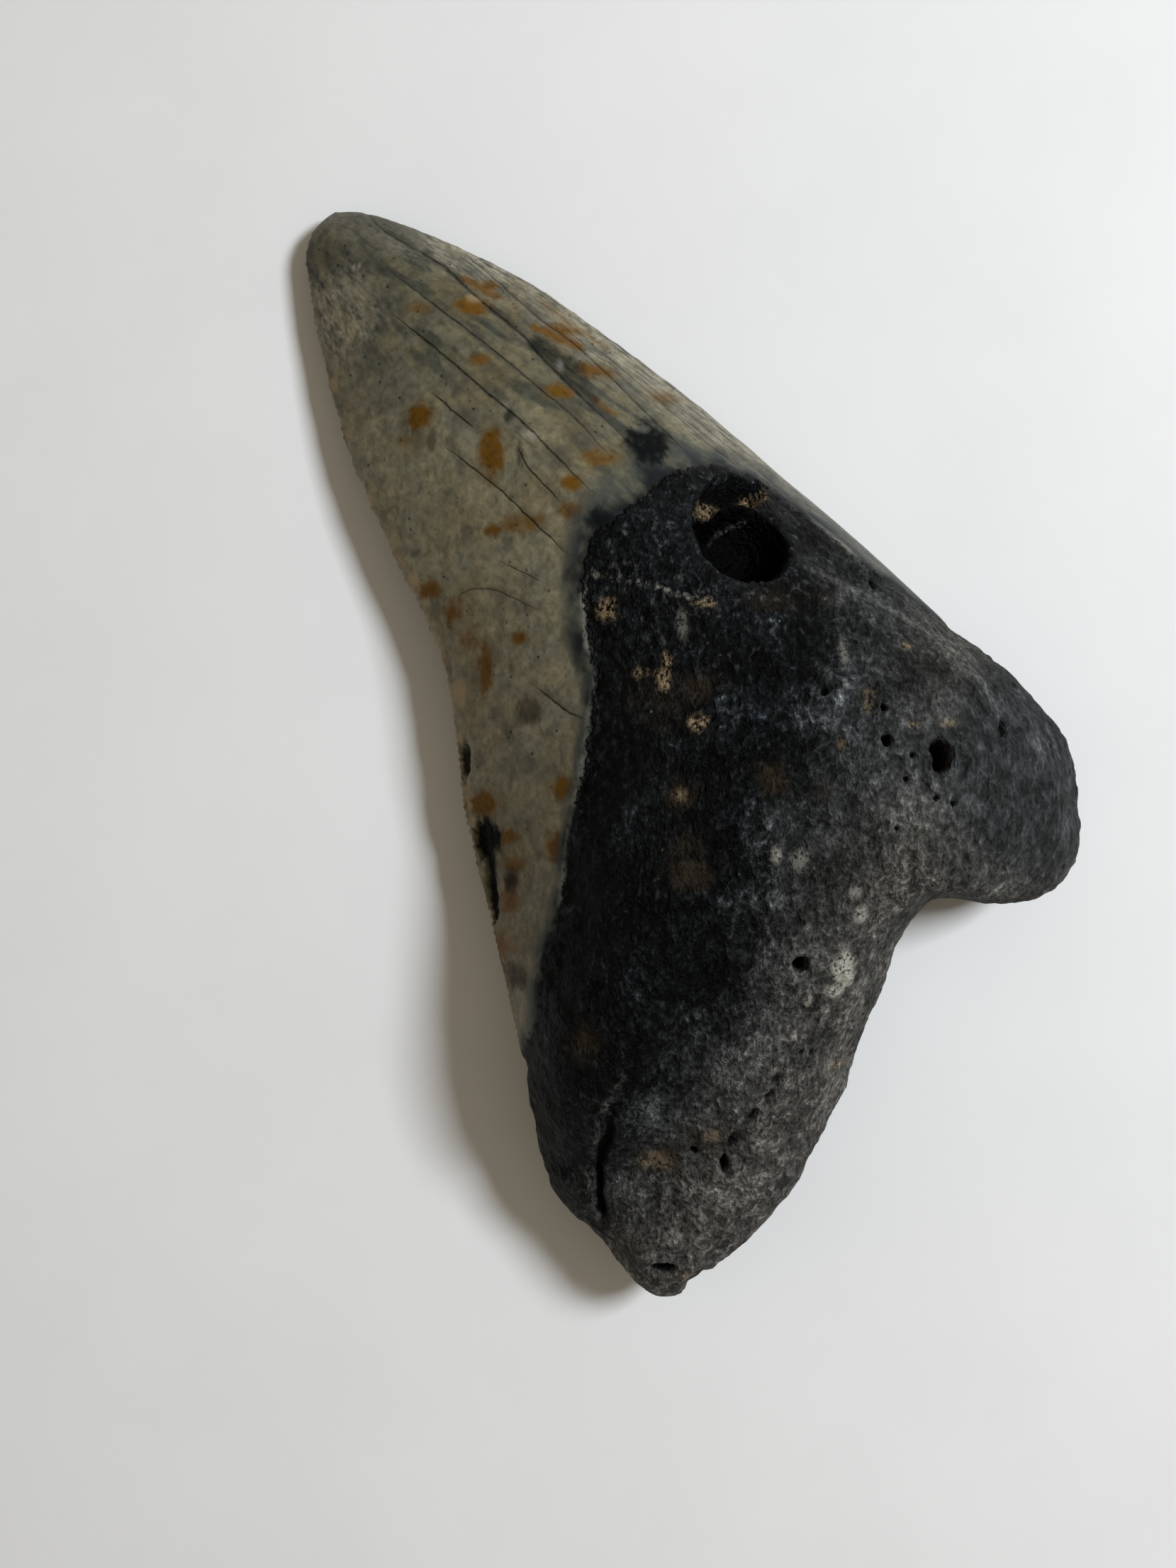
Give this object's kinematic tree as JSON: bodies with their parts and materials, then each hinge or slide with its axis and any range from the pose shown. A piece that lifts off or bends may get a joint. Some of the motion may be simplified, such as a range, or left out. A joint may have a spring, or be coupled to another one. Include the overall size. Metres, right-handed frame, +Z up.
{
  "type": "fossil shark tooth",
  "caption": "Fossil megalodon tooth lying on its flat face: grey-olive crown with worn cutting edges, dark porous two-lobed root with a round blind boring.",
  "frame": {"origin": "on the surface the tooth lies on, under the middle of its outline", "axes": "+Z up off the surface, +Y from the root towards the tip, +X towards the shorter root lobe"},
  "size_m": [0.0778, 0.1164, 0.027],
  "materials": {
    "fossil": "satin grey-olive enamel over a matt near-black root, with rust stains"
  },
  "bodies": {
    "root": {"tooth": "fossil"}
  },
  "joints": []
}
